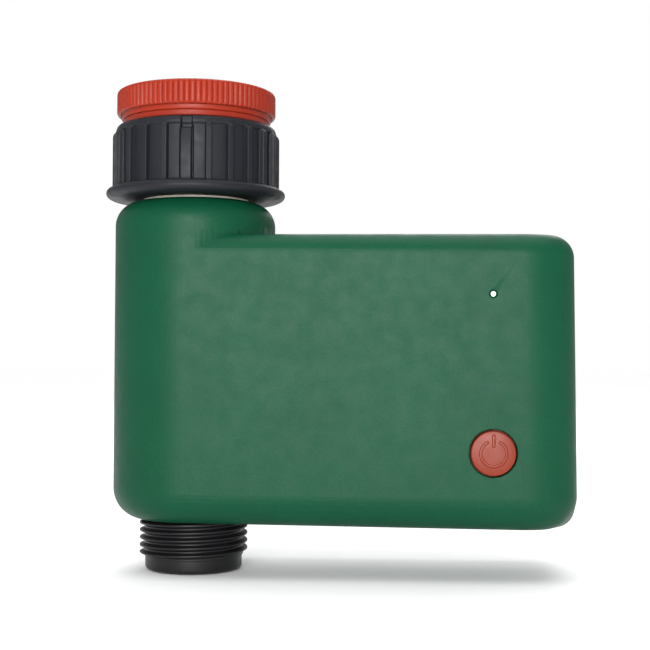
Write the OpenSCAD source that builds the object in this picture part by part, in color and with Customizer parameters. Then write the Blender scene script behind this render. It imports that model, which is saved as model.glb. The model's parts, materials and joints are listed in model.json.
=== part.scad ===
// Drip irrigation timer: screwed under a tap, it opens and closes a motor-driven ball valve.
// A round valve column hangs from a swivel nut; the control box with its battery bay is at
// the side, and the threaded outlet is below. Millimetres.
// Origin: centre of the inlet mouth. +Z up to the tap, +X to the control box, front at -Y.
// Heights in the settings are counted down from the inlet mouth.

/* [Inlet] */
// Outer diameter of the fluted reducer ring
ring_d = 39.2; // [39:0.1:40.5]
// Height of the fluted reducer ring
ring_h = 6; // [5.5:0.1:6.2]
// Number of grip flutes on the reducer ring
ring_flutes = 90; // [60:2:100]
// Crest diameter of the inlet's inner thread (G3/4)
inlet_crest_d = 24.12; // [24:0.01:24.3]
// Groove diameter of the inlet's inner thread (G3/4)
inlet_groove_d = 26.44; // [26.3:0.01:26.6]
// Outer diameter of the reducer's own thread (G1)
plug_d = 33.25; // [33.1:0.01:33.3]
// Diameter across the ribs of the swivel nut
nut_d = 41.2; // [40.8:0.1:42]
// Diameter of the swivel nut's bottom flange
nut_flange_d = 44.2; // [43:0.1:45]
// Number of ribs on the swivel nut
nut_ribs = 24; // [18:1:28]

/* [Housing] */
// Outer diameter of the valve column
column_d = 39.4; // [39:0.1:40.5]
// Depth of the column's top below the inlet mouth
column_top = 27.3; // [27.1:0.1:27.8]
// Depth of the box's top below the inlet mouth
box_top = 36.3; // [36:0.1:37]
// Depth of the column's bottom below the inlet mouth
box_bottom = 104.8; // [104:0.1:105]
// How much lower the box's far end is than the column
box_drop = 0.8; // [0:0.1:1.6]
// Reach of the box from the flow axis, at its bottom
box_reach = 92.3; // [92:0.1:95]
// How much less the box reaches at its top
box_lean = 0.6; // [0:0.1:0.8]
// Wall thickness of the covers
wall = 2.2; // [2:0.1:2.4]
// Depth of the outlet's rim below the inlet mouth
outlet_rim = 117.2; // [116:0.1:118]
// Outer diameter of the outlet thread (G3/4)
outlet_d = 26.44; // [26.3:0.01:26.6]
// Pitch of the inlet and outlet threads
pipe_pitch = 1.814; // [1.8:0.001:1.83]

/* [Controls] */
// Diameter of the power button
button_d = 10.4; // [9:0.1:11]
// How far the button stands out of the front
button_rise = 0.8; // [0.4:0.1:1.2]
// Distance of button and light from the flow axis
panel_x = 72; // [70:0.5:72]
// Depth of the button's centre below the inlet mouth
button_z = 87.2; // [86:0.1:88]
// Depth of the indicator light below the inlet mouth
light_z = 50.6; // [50:0.1:52]
// Diameter of the light pipe's tip
light_d = 1.2; // [1:0.1:1.4]

/* [Valve] */
// Outer diameter of the valve neck
neck_d = 26; // [25.8:0.1:26]
// Bore of the valve neck
neck_bore = 18; // [17.6:0.1:18.2]
// Ball diameter
ball_d = 20; // [19.8:0.1:20]
// Port diameter through the ball
port_d = 13; // [10:0.5:13]
// Depth of the ball's centre below the inlet mouth
valve_z = 62; // [61.5:0.1:62.5]
// Stem diameter
stem_d = 7; // [6.6:0.1:7]

/* [Drive] */
// Teeth of the output gear on the valve stem
output_teeth = 36; // [36:12:36]
// Teeth of the idler's small gear
idler_small = 12; // [12:1:12]
// Teeth of the idler's large gear
idler_large = 30; // [30:1:30]
// Teeth of the motor pinion
pinion_teeth = 10; // [10:1:10]
// Module of the output gear pair
slow_module = 0.8; // [0.78:0.01:0.8]
// Module of the motor gear pair
fast_module = 0.6; // [0.58:0.01:0.6]

/* [Power] */
// Diameter of a battery cell
cell_d = 14.4; // [14:0.1:14.5]
// Length of a battery cell with its nub
cell_l = 50.4; // [49.5:0.1:50.5]
// Distance between neighbouring cells
cell_pitch = 14.6; // [14.6:0.1:14.6]

/* [Hidden] */
$fn = 64;
ring_r = ring_d / 2;
crest_r = inlet_crest_d / 2;
groove_r = inlet_groove_d / 2;
plug_r = plug_d / 2;
plug_pitch = 2.309;
plug_core_r = plug_r - 1.48;
plug_end = 16.7;
nut_r = nut_d / 2;
nut_band_r = nut_r - 0.8;
nut_floor_r = nut_r - 1.25;
nut_top = 8.6;
collar_top_r = 18.6;
collar_r = 17.8;
collar_step = 7.2;
collar_end = 8.45;
nut_end = 26.8;
flange_r = nut_flange_d / 2;
lip_r = neck_d / 2 + 0.2;
column_r = column_d / 2;
corner_x = 6;
corner_top = 5.5;
corner_bottom = 8;
front_corner_x = 13;
front_corner_y = 10;
rear_corner_y = 4;
split_gap = 0.02;
neck_r = neck_d / 2;
bore_r = neck_bore / 2;
ball_r = ball_d / 2;
port_r = port_d / 2;
stem_r = stem_d / 2;
chamber_r = 11.5;
valve_r = 13.6;
joint_r = 16.4;
joint_z = 92;
spout_r = neck_r - 0.1;
outlet_r = outlet_d / 2;
outlet_core_r = outlet_r - 1.16;
outlet_bore_r = 9.4;
slow_reach = slow_module * (output_teeth + idler_small) / 2 + 0.04;
fast_reach = fast_module * (idler_large + pinion_teeth) / 2 + 0.04;
idler_y = -5;
idler_z = -valve_z - sqrt(slow_reach * slow_reach - idler_y * idler_y);
pinion_y = -9.3;
pinion_z = idler_z - sqrt(fast_reach * fast_reach - (pinion_y - idler_y) * (pinion_y - idler_y));
gear_x = 20.2;
gear_w = 3.5;
fast_x = 24.3;
fast_w = 2;
bulk_x = 26.7;
bulk_w = 1.6;
floor_y = 0.4;
bay_y = 2;
ledge_y = 16.9;
bay_x0 = bulk_x + bulk_w;
bay_x1 = bay_x0 + 3 * cell_pitch + cell_d + 0.4;
bay_z0 = 43.3;
bay_z1 = 98.4;
ledge = 1.6;
cell_r = cell_d / 2;
cell_y = bay_y + cell_r + 0.2;
cell_x = bay_x0 + cell_r + 0.15;
front_y = -column_r;
inner_y = front_y + wall;
board_y0 = -9.6;
board_y1 = -8;
button_r = button_d / 2;

// ---- helpers ----

module rod_x(r, x0, x1, y = 0, z = 0) {
    translate([x0, y, z])
    rotate([0, 90, 0])
    cylinder(r = r, h = x1 - x0);
}

module rod_y(r, y0, y1, x = 0, z = 0) {
    translate([x, y0, z])
    rotate([-90, 0, 0])
    cylinder(r = r, h = y1 - y0);
}

module rod_z(r, z0, z1, x = 0, y = 0) {
    translate([x, y, z0])
    cylinder(r = r, h = z1 - z0);
}

module block(x0, x1, y0, y1, z0, z1) {
    translate([x0, y0, z0])
    cube([x1 - x0, y1 - y0, z1 - z0]);
}

// Rings of an outer thread seen in profile, going down from depth z0
function outer_rings(core, crest, pitch, z0, turns) = [
    for (i = [0 : turns - 1])
        each [
            [core, -z0 - i * pitch],
            [crest, -z0 - (i + 0.36) * pitch],
            [crest, -z0 - (i + 0.6) * pitch],
            [core, -z0 - (i + 0.96) * pitch]
        ]
];

// Grooves of an inner thread seen in profile, going down from depth z0
function inner_grooves(crest, groove, pitch, z0, turns) = [
    for (i = [0 : turns - 1])
        each [
            [crest, -z0 - i * pitch],
            [groove, -z0 - (i + 0.32) * pitch],
            [groove, -z0 - (i + 0.5) * pitch],
            [crest, -z0 - (i + 0.82) * pitch]
        ]
];

// Outline of a ring with shallow flutes
function fluted(r, depth, count) = [
    for (i = [0 : count - 1])
        each [
            polar(r, (i - 0.28) * 360 / count),
            polar(r, (i + 0.28) * 360 / count),
            polar(r - depth, (i + 0.5) * 360 / count)
        ]
];

// Outline of a ring with square ribs, rib_a degrees wide
function ribbed(r, floor_r, rib_a, count, turn) = [
    for (i = [0 : count - 1])
        each [
            polar(floor_r, i * 360 / count + turn - rib_a / 2 - 0.5),
            polar(r, i * 360 / count + turn - rib_a / 2),
            polar(r, i * 360 / count + turn + rib_a / 2),
            polar(floor_r, i * 360 / count + turn + rib_a / 2 + 0.5)
        ]
];

function polar(r, a) = [r * cos(a), r * sin(a)];

// Involute gear outline, pressure angle 25 degrees, short addendum
function involute(a) = tan(a) * 180 / PI - a;
function tooth_half(m, teeth, r) =
    let (rp = m * teeth / 2)
    let (rb = rp * cos(25))
    let (at = r > rb ? acos(rb / r) : 0)
    90 / teeth * 0.965 + involute(25) - involute(at);
function gear_outline(m, teeth, turn) =
    let (rp = m * teeth / 2)
    let (rr = rp - 1.15 * m)
    let (rb = max(rp * cos(25), rr))
    let (ra = rp + 0.85 * m)
    [
        for (i = [0 : teeth - 1])
            let (a = i * 360 / teeth + turn)
            each [
                polar(rr, a - tooth_half(m, teeth, rb)),
                polar(rb + (rp - rb) * 0.5, a - tooth_half(m, teeth, rb + (rp - rb) * 0.5)),
                polar(rp, a - tooth_half(m, teeth, rp)),
                polar(ra, a - tooth_half(m, teeth, ra)),
                polar(ra, a + tooth_half(m, teeth, ra)),
                polar(rp, a + tooth_half(m, teeth, rp)),
                polar(rb + (rp - rb) * 0.5, a + tooth_half(m, teeth, rb + (rp - rb) * 0.5)),
                polar(rr, a + tooth_half(m, teeth, rb))
            ]
    ];

// Gear lying across X from x0, turned so that "turn" is measured from -Z towards +Y
module gear_x(m, teeth, turn, x0, width, y, z) {
    translate([x0, y, z])
    rotate([0, 90, 0])
    linear_extrude(width)
    polygon(gear_outline(m, teeth, turn));
}

// Tube swept along a list of points with flat-ended rings
function unit(v) = v / norm(v);
function path_dir(p, i) = unit(p[min(i + 1, len(p) - 1)] - p[max(i - 1, 0)]);
function side_of(d) = unit(cross(d, abs(d[2]) < 0.9 ? [0, 0, 1] : [1, 0, 0]));
module tube(points, r, sides = 8) {
    n = len(points);
    rings = [
        for (i = [0 : n - 1])
            let (d = path_dir(points, i))
            let (u = side_of(d))
            let (v = cross(d, u))
            for (k = [0 : sides - 1])
                points[i] + r * (cos(k * 360 / sides) * u + sin(k * 360 / sides) * v)
    ];
    faces = concat(
        [[for (k = [0 : sides - 1]) k]],
        [
            for (i = [0 : n - 2], k = [0 : sides - 1])
                let (a = i * sides + k)
                let (b = i * sides + (k + 1) % sides)
                each [[a, a + sides, b], [b, a + sides, b + sides]]
        ],
        [[for (k = [sides - 1 : -1 : 0]) (n - 1) * sides + k]]
    );
    polyhedron(rings, faces);
}

// Smooth run of points through a few corner points
function bezier(a, b, c, t) = (1 - t) * (1 - t) * a + 2 * t * (1 - t) * b + t * t * c;
function mid(a, b) = (a + b) / 2;
function soft_path(p, steps) = concat(
    [p[0]],
    [
        for (i = [1 : len(p) - 2], s = [0 : steps])
            bezier(mid(p[i - 1], p[i]), p[i], mid(p[i], p[i + 1]), s / steps)
    ],
    [p[len(p) - 1]]
);

// Coil of round wire standing along Z
function coil_path(x, y, z0, z1, r0, r1, turns, steps) = [
    for (i = [0 : steps])
        let (t = i / steps)
        [
            x + (r0 + (r1 - r0) * t) * cos(360 * turns * t),
            y + (r0 + (r1 - r0) * t) * sin(360 * turns * t),
            z0 + (z1 - z0) * t
        ]
];

// Outline of a rounded rectangle, centred
function rounded(w, h, r, steps = 6) = [
    for (q = [0 : 3], s = [0 : steps])
        let (a = q * 90 + s * 90 / steps)
        [
            (q == 0 || q == 3 ? 1 : -1) * (w / 2 - r) + r * cos(a),
            (q < 2 ? 1 : -1) * (h / 2 - r) + r * sin(a)
        ]
];

// ---- housing shape ----

// Oval upright corner whose top or bottom edge is rounded with its own radius
module corner_end(x, y, z, side, rx, ry, edge, inset) {
    r = min(edge, ry - 0.2);
    for (a = [0 : 15 : 90])
        translate([x, y, z - side * (r - (r - inset) * sin(a))])
        scale([rx - r + (r - inset) * cos(a), ry - r + (r - inset) * cos(a), 1])
        cylinder(r = 1, h = 0.001, center = true, $fn = 40);
}

module box_corners(x, z, side, edge, inset) {
    corner_end(x - front_corner_x, front_y + front_corner_y, z, side,
        front_corner_x, front_corner_y, edge, inset);
    corner_end(x - corner_x, -rear_corner_y - 2, z, side, corner_x, 5, edge, inset);
    corner_end(x - corner_x, column_r - rear_corner_y, z, side, corner_x, rear_corner_y, edge, inset);
}

module column_form(top, top_r, inset) {
    rotate_extrude($fn = 96)
    polygon(concat(
        [[0, -top - inset]],
        [
            for (a = [90 : -15 : 0])
                [
                    column_r - top_r + (top_r - inset) * cos(a),
                    -top - top_r + (top_r - inset) * sin(a)
                ]
        ],
        [
            for (a = [0 : -15 : -90])
                [
                    column_r - 7.5 + (7.5 - inset) * cos(a),
                    -box_bottom + 7.5 + (7.5 - inset) * sin(a)
                ]
        ],
        [[0, -box_bottom + inset]]
    ));
}

// Outer skin of the housing, or its inner space when inset by the wall
module housing_form(inset) {
    hull() {
        column_form(box_top, 5, inset);
        box_corners(box_reach - box_lean, -box_top, 1, corner_top, inset);
        box_corners(box_reach, -box_bottom - box_drop, -1, corner_bottom, inset);
    }
    hull()
    column_form(column_top, 6, inset);
}

module housing_skin() {
    difference() {
        housing_form(0);
        housing_form(wall);
    }
}

module half(front) {
    y0 = front ? -60 : split_gap / 2;
    y1 = front ? -split_gap / 2 : 60;
    block(-60, 140, y0, y1, -160, 20);
}

bay_screw_x = [bay_x0 + cell_pitch + 0.15, bay_x0 + cell_pitch + 0.15, bay_x0 + 3 * cell_pitch + 0.15];
bay_screw_z = [-50, -80, -69];
side_screw_x = [22, 21.6];
side_screw_z = [-42.6, -97.6];
board_screw_x = [58.5, 82.5];
board_screw_z = [-46.5, -94.5];

// Boss standing on the inside of the front cover, with a rib to the wall
module front_boss(x, z, y1, r) {
    hull() {
        rod_y(r, inner_y - 0.6, inner_y + 0.3, x, z, $fn = 32);
        rod_y(r - 0.3, y1 - 0.3, y1, x, z, $fn = 32);
    }
    hull() {
        block(x - 0.5, x + 0.5, inner_y - 0.4, y1 - 2, z - 0.5, z + 0.5);
        block(x - 0.5, x + 0.5, inner_y - 0.4, inner_y + 0.5, z - r - 1.6, z + r + 1.6);
    }
}

module front_cover() {
    color("seagreen")
    difference() {
        union() {
            intersection() {
                housing_skin();
                half(true);
            }
            intersection() {
                hull()
                housing_form(1);
                union() {
                    for (i = [0 : 2])
                        front_boss(bay_screw_x[i], bay_screw_z[i], floor_y - 0.05, 2.9);
                    for (i = [0 : 1])
                        front_boss(side_screw_x[i], side_screw_z[i], -split_gap / 2, 2.6);
                    for (x = board_screw_x, z = board_screw_z)
                        front_boss(x, z, board_y0 - 0.05, 2.6);
                }
            }
            rod_y(button_r + 2.2, inner_y - 0.3, inner_y + 0.5, panel_x, -button_z, $fn = 48);
            rod_y(3, inner_y - 0.3, inner_y + 2, panel_x, -light_z, $fn = 32);
        }
        rod_y(button_r + 0.3, front_y - 5, inner_y + 2, panel_x, -button_z, $fn = 64);
        rod_y(1, front_y - 1, front_y + 0.6, panel_x, -light_z, $fn = 32);
        rod_y(light_d / 2 + 0.1, front_y - 1, inner_y + 1, panel_x, -light_z, $fn = 24);
        rod_y(1.7, inner_y, inner_y + 4, panel_x, -light_z, $fn = 24);
        for (i = [0 : 2])
            rod_y(1, -12, 3, bay_screw_x[i], bay_screw_z[i], $fn = 16);
        for (i = [0 : 1])
            rod_y(1, -12, 3, side_screw_x[i], side_screw_z[i], $fn = 16);
        for (x = board_screw_x, z = board_screw_z)
            rod_y(0.9, inner_y + 2, 0, x, z, $fn = 16);
        rod_z(neck_r + 0.25, -column_top - 6, 0, $fn = 96);
        rod_z(outlet_r + 0.3, -box_bottom - 6, -box_bottom + 6, $fn = 96);
    }
}

module bay_form() {
    block(bay_x0, bay_x1, bay_y, 60, -bay_z1, -bay_z0);
}

module rear_cover() {
    color("seagreen")
    difference() {
        union() {
            intersection() {
                housing_skin();
                half(false);
            }
            intersection() {
                hull()
                housing_form(1);
                union() {
                    block(bulk_x, 120, floor_y, bay_y, -box_bottom - box_drop, -box_top);
                    block(bulk_x, bay_x1 + ledge, floor_y, ledge_y, -bay_z1 - ledge, -bay_z0 + ledge);
                    block(bulk_x, bulk_x + bulk_w, floor_y, ledge_y, -99.6, -46);
                }
            }
            intersection() {
                hull()
                housing_form(wall + 0.15);
                block(bulk_x, bulk_x + bulk_w, inner_y + 0.7, floor_y + 0.1, -99.6, -46);
            }
            intersection() {
                hull()
                housing_form(1);
                for (i = [0 : 1])
                    rod_y(3.3, split_gap / 2, column_r, side_screw_x[i], side_screw_z[i], $fn = 32);
            }
        }
        bay_form();
        block(bulk_x, bay_x1 + ledge, ledge_y, 60, -bay_z1 - ledge, -bay_z0 + ledge);
        for (i = [0 : 2])
            rod_y(1.3, -2, 4, bay_screw_x[i], bay_screw_z[i], $fn = 24);
        for (i = [0 : 1]) {
            rod_y(1.3, -2, 40, side_screw_x[i], side_screw_z[i], $fn = 24);
            rod_y(2.3, 6, 40, side_screw_x[i], side_screw_z[i], $fn = 32);
        }
        rod_x(1.1, bulk_x - 1, bulk_x + 3, idler_y, idler_z, $fn = 24);
        rod_x(2.4, bulk_x - 1, bulk_x + 3, pinion_y, pinion_z, $fn = 32);
        for (s = [-1, 1])
            rod_x(1.5, bulk_x - 1, bulk_x + 3, pinion_y + s * 4.5, pinion_z, $fn = 24);
        for (x = [cell_x, cell_x + 3 * cell_pitch])
            block(x - 2.2, x + 2.2, floor_y - 1, bay_y + 1, -bay_z0 - 0.9, -bay_z0);
        rod_z(neck_r + 0.25, -column_top - 6, 0, $fn = 96);
        rod_z(outlet_r + 0.3, -box_bottom - 6, -box_bottom + 6, $fn = 96);
    }
}

module pan_screw(r, head_r, head_h, y0, y1, x, z) {
    rod_y(r, y0, y1 + 0.01, x, z, $fn = 24);
    difference() {
        rod_y(head_r, y1, y1 + head_h, x, z, $fn = 32);
        block(x - 0.25, x + 0.25, y1 + head_h - 0.6, y1 + head_h + 1, z - head_r * 0.6, z + head_r * 0.6);
        block(x - head_r * 0.6, x + head_r * 0.6, y1 + head_h - 0.6, y1 + head_h + 1, z - 0.25, z + 0.25);
    }
}

module cover_screws() {
    color("silver") {
        for (i = [0 : 2])
            pan_screw(0.95, 2, 1.4, -11, bay_y + 0.02, bay_screw_x[i], bay_screw_z[i]);
        for (i = [0 : 1])
            pan_screw(0.95, 2, 1.4, -11, 6.02, side_screw_x[i], side_screw_z[i]);
    }
}

module light_pipe() {
    color("honeydew")
    union() {
        rod_y(light_d / 2, front_y + 0.35, inner_y + 0.5, panel_x, -light_z, $fn = 24);
        rod_y(1.6, inner_y + 0.05, -12.9, panel_x, -light_z, $fn = 24);
    }
}

module status_led() {
    color("white")
    union() {
        rod_y(1.5, -12, board_y0, panel_x, -light_z, $fn = 32);
        intersection() {
            translate([panel_x, -12, -light_z])
            sphere(r = 0.8, $fn = 32);
            block(0, 120, -20, -11.9, -120, 0);
        }
    }
}

// ---- water path ----

module valve_body() {
    color("ivory")
    difference() {
        union() {
            rotate_extrude($fn = 96)
            polygon([
                [0, -19.5], [neck_r - 0.4, -19.5], [neck_r, -19.9], [neck_r, -22.4],
                [neck_r - 1.4, -22.4], [neck_r - 1.4, -23.7], [neck_r, -23.7],
                [neck_r, -30.3], [15, -30.3], [joint_r, -31.3], [joint_r, -33.4], [valve_r, -36.4],
                [valve_r, -joint_z + 5.6], [joint_r, -joint_z + 3.4], [joint_r, -joint_z],
                [0, -joint_z]
            ]);
            rod_x(6.6, 9, 19.8, 0, -valve_z);
        }
        rotate_extrude($fn = 96)
        polygon([
            [0, -19], [bore_r, -19], [bore_r, -valve_z + 10.8], [chamber_r, -valve_z + 10.8],
            [chamber_r, -joint_z - 1], [0, -joint_z - 1]
        ]);
        rod_x(stem_r + 0.05, 8, 21, 0, -valve_z);
        for (a = [45 : 90 : 315])
            rod_z(0.9, -joint_z - 1, -joint_z + 5, 14.8 * cos(a), 14.8 * sin(a), $fn = 24);
    }
}

module outlet_spout() {
    color("dimgray")
    difference() {
        rotate_extrude($fn = 96)
        polygon(concat(
            [
                [7.2, -valve_z - 10.9], [chamber_r - 0.1, -valve_z - 10.9],
                [chamber_r - 0.1, -81.2], [chamber_r - 1, -81.2], [chamber_r - 1, -82.9],
                [chamber_r - 0.1, -82.9], [chamber_r - 0.1, -joint_z - 0.02],
                [joint_r, -joint_z - 0.02], [joint_r, -joint_z - 3.4], [spout_r, -joint_z - 3.4],
                [spout_r, -101.7], [spout_r - 0.8, -101.7], [spout_r - 0.8, -103.3],
                [spout_r, -103.3], [spout_r, -104], [outlet_core_r, -104.4]
            ],
            outer_rings(outlet_core_r, outlet_r, pipe_pitch, 104.5, 5),
            [
                [outlet_core_r, -113.7], [outlet_core_r - 0.2, -114], [outlet_core_r - 0.2, -outlet_rim + 1],
                [outlet_core_r - 1, -outlet_rim + 0.2], [outlet_core_r - 1.3, -outlet_rim],
                [outlet_bore_r + 0.3, -outlet_rim], [outlet_bore_r, -outlet_rim + 0.4],
                [outlet_bore_r, -88], [7.2, -84]
            ]
        ));
        for (a = [45 : 90 : 315])
            rod_z(1.1, -joint_z - 5, -joint_z + 1, 14.8 * cos(a), 14.8 * sin(a), $fn = 24);
    }
}

module torus_z(major, minor, z) {
    translate([0, 0, z])
    rotate_extrude($fn = 64)
    translate([major, 0])
    circle(r = minor, $fn = 24);
}

module body_o_rings() {
    color("black") {
        torus_z(chamber_r - 0.5, 0.46, -82.05);
        torus_z(spout_r - 0.1, 0.66, -102.5);
    }
}

module flange_screws() {
    color("silver")
    for (a = [45 : 90 : 315])
        translate([14.8 * cos(a), 14.8 * sin(a), 0]) {
            rod_z(0.85, -joint_z - 3.5, -joint_z + 4, $fn = 24);
            difference() {
                rod_z(1.5, -joint_z - 4.8, -joint_z - 3.42, $fn = 32);
                block(-0.25, 0.25, -0.9, 0.9, -joint_z - 6, -joint_z - 4.2);
                block(-0.9, 0.9, -0.25, 0.25, -joint_z - 6, -joint_z - 4.2);
            }
        }
}

module seat(side) {
    z = -valve_z + side * 8.1;
    difference() {
        rod_z(chamber_r - 0.05, z - 2.6, z + 2.6, $fn = 96);
        rod_z(7.1, z - 4, z + 4, $fn = 96);
        translate([0, 0, -valve_z])
        sphere(r = ball_r + 0.04, $fn = 64);
    }
}

module seat_upper() {
    color("white")
    seat(1);
}

module seat_lower() {
    color("white")
    seat(-1);
}

module nut_retaining_ring() {
    color("lightsteelblue")
    difference() {
        rod_z(15.2, -23.6, -22.5);
        rod_z(neck_r - 1.3, -24, -22);
        block(-4, 4, 0, 20, -24, -22);
    }
}

module inlet_filter() {
    color("whitesmoke")
    difference() {
        rotate_extrude()
        polygon([
            [7.6, -18.5], [14.6, -18.5], [14.6, -19.45], [bore_r - 0.15, -19.45],
            [bore_r - 0.15, -20.4], [bore_r - 1.6, -31], [0, -31], [0, -30.2], [bore_r - 2.4, -30.2],
            [7.6, -20]
        ]);
        for (a = [0 : 30 : 330])
            rotate([0, 0, a])
            block(5, 12, -0.7, 0.7, -29.4, -21.2);
        rod_z(0.8, -35, -25, $fn = 24);
        for (a = [0 : 60 : 300])
            rod_z(0.8, -35, -25, 3.4 * cos(a), 3.4 * sin(a), $fn = 24);
    }
}

module inlet_washer() {
    color("dimgray")
    difference() {
        rod_z(15.4, -18.45, -16.95);
        rod_z(8.6, -20, -16);
    }
}

// ---- swivel nut and reducer ----

module swivel_nut() {
    color("darkslategray")
    union() {
        rotate_extrude($fn = 96)
        polygon([
            [plug_r + 0.13, -nut_top], [nut_band_r - 1.3, -nut_top], [nut_band_r - 0.5, -nut_top - 0.3],
            [nut_band_r - 0.1, -nut_top - 0.8], [nut_band_r, -nut_top - 1.5], [nut_band_r, -10.6],
            [nut_floor_r, -11], [nut_floor_r, -23.8], [nut_r - 0.2, -24], [flange_r - 0.5, -24.3],
            [flange_r - 0.1, -24.7], [flange_r, -25.2], [flange_r - 0.2, -25.9],
            [flange_r - 0.9, -26.5], [flange_r - 2.1, -nut_end], [lip_r, -nut_end], [lip_r, -24],
            [16, -24], [16, -17.9], [plug_r + 0.13, -17.2]
        ]);
        intersection() {
            translate([0, 0, -24.5])
            linear_extrude(14.3)
            difference() {
                polygon(ribbed(nut_r, nut_floor_r - 0.6, 4.8, nut_ribs, 272.6));
                circle(r = nut_floor_r - 1);
            }
            rotate_extrude($fn = 96)
            polygon([
                [nut_floor_r - 2, -10.2], [nut_band_r, -10.2], [nut_r, -11.5], [nut_r + 1, -11.5],
                [nut_r + 1, -24.6], [nut_floor_r - 2, -24.6]
            ]);
        }
    }
}

module reducer_washer() {
    color("black")
    difference() {
        rod_z(12.9, -14.1, -11.9);
        rod_z(8.4, -15, -11);
    }
}

module reducer_ring() {
    color("orangered")
    union() {
        rotate_extrude($fn = 96)
        polygon(concat(
            [[crest_r, 0]],
            inner_grooves(crest_r, groove_r, pipe_pitch, 1, 5),
            [
                [crest_r, -11.4], [groove_r, -11.6], [groove_r, -14.3], [9, -14.3], [9, -plug_end],
                [plug_core_r - 0.5, -plug_end], [plug_core_r, -plug_end + 0.5]
            ],
            [
                for (i = [3 : -1 : 1])
                    each [
                        [plug_core_r, -6.6 - (i + 0.96) * plug_pitch],
                        [plug_r, -6.6 - (i + 0.6) * plug_pitch],
                        [plug_r, -6.6 - (i + 0.36) * plug_pitch],
                        [plug_core_r, -6.6 - i * plug_pitch]
                    ]
            ],
            [
                [plug_core_r, -collar_end], [collar_r, -collar_end], [collar_r, -collar_step],
                [collar_top_r, -collar_step], [collar_top_r, -ring_h + 0.4], [ring_r - 1.4, -ring_h + 0.4],
                [ring_r - 1.4, 0]
            ]
        ));
        intersection() {
            translate([0, 0, -ring_h])
            linear_extrude(ring_h)
            difference() {
                polygon(fluted(ring_r, 0.28, ring_flutes));
                circle(r = ring_r - 2);
            }
            rotate_extrude($fn = 96)
            polygon([
                [ring_r - 2.5, 0], [ring_r - 0.9, 0], [ring_r + 0.2, -1.1], [ring_r + 0.2, -ring_h + 0.5],
                [ring_r - 0.4, -ring_h], [ring_r - 2.5, -ring_h]
            ]);
        }
    }
}

// ---- valve and drive ----

module valve_ball() {
    color("silver")
    difference() {
        translate([0, 0, -valve_z])
        sphere(r = ball_r, $fn = 96);
        rod_y(port_r, -12, 12, 0, -valve_z);
        block(ball_r - 2.4, ball_r + 1, -12, 12, -valve_z - 1.5, -valve_z + 1.5);
    }
}

module valve_stem() {
    color("goldenrod")
    difference() {
        union() {
            block(ball_r - 2.2, ball_r + 0.1, -3.2, 3.2, -valve_z - 1.4, -valve_z + 1.4);
            rod_x(stem_r, ball_r + 0.05, gear_x - 0.05, 0, -valve_z);
            intersection() {
                rod_x(3, gear_x - 0.1, gear_x + gear_w - 0.1, 0, -valve_z);
                block(gear_x - 1, gear_x + gear_w + 1, -4, 4, -valve_z - 4, -valve_z + 2.2);
            }
        }
        for (x = [13, 16])
            difference() {
                rod_x(stem_r + 1, x, x + 1.2, 0, -valve_z);
                rod_x(stem_r - 0.8, x - 1, x + 3, 0, -valve_z);
            }
        rod_x(0.9, 18.5, 30, 0, -valve_z, $fn = 24);
    }
}

module stem_o_rings() {
    color("black")
    for (x = [13.6, 16.6])
        translate([x, 0, -valve_z])
        rotate([0, 90, 0])
        rotate_extrude($fn = 48)
        translate([stem_r - 0.38, 0])
        circle(r = 0.4, $fn = 20);
}

module output_gear() {
    a = atan2(idler_y, -valve_z - idler_z);
    color("gold")
    difference() {
        gear_x(slow_module, output_teeth, a, gear_x, gear_w, 0, -valve_z);
        intersection() {
            rod_x(3.06, gear_x - 1, gear_x + gear_w + 1, 0, -valve_z);
            block(gear_x - 2, gear_x + gear_w + 2, -4, 4, -valve_z - 4, -valve_z + 2.26);
        }
        for (t = [30 : 60 : 330])
            rod_x(2.3, gear_x - 1, gear_x + gear_w + 1, 8.6 * cos(t), -valve_z + 8.6 * sin(t), $fn = 32);
    }
}

module stem_screw() {
    color("silver")
    union() {
        rod_x(0.85, 19, gear_x + gear_w + 0.3, 0, -valve_z, $fn = 24);
        difference() {
            rod_x(3.4, gear_x + gear_w + 0.02, gear_x + gear_w + 1.2, 0, -valve_z, $fn = 32);
            block(gear_x + gear_w + 0.7, 30, -2, 2, -valve_z - 0.3, -valve_z + 0.3);
            block(gear_x + gear_w + 0.7, 30, -0.3, 0.3, -valve_z - 2, -valve_z + 2);
        }
    }
}

module idler_gear() {
    a = atan2(idler_y, -valve_z - idler_z);
    b = atan2(pinion_y - idler_y, idler_z - pinion_z);
    color("khaki")
    difference() {
        union() {
            gear_x(slow_module, idler_small, a + 180 + 180 / idler_small, gear_x, fast_x - gear_x,
                idler_y, idler_z);
            gear_x(fast_module, idler_large, b, fast_x, fast_w, idler_y, idler_z);
        }
        rod_x(1.05, gear_x - 1, fast_x + fast_w + 1, idler_y, idler_z, $fn = 32);
    }
}

module idler_axle() {
    color("silver")
    rod_x(1, 20, bulk_x + bulk_w, idler_y, idler_z, $fn = 32);
}

module motor_pinion() {
    b = atan2(pinion_y - idler_y, idler_z - pinion_z);
    color("goldenrod")
    difference() {
        gear_x(fast_module, pinion_teeth, b + 180 + 180 / pinion_teeth, fast_x, fast_w,
            pinion_y, pinion_z);
        rod_x(1.5, fast_x - 1, fast_x + fast_w + 1, pinion_y, pinion_z, $fn = 32);
    }
}

module motor_shaft() {
    color("silver")
    rod_x(1.49, fast_x - 0.4, bay_x0 + 2, pinion_y, pinion_z, $fn = 32);
}

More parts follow.
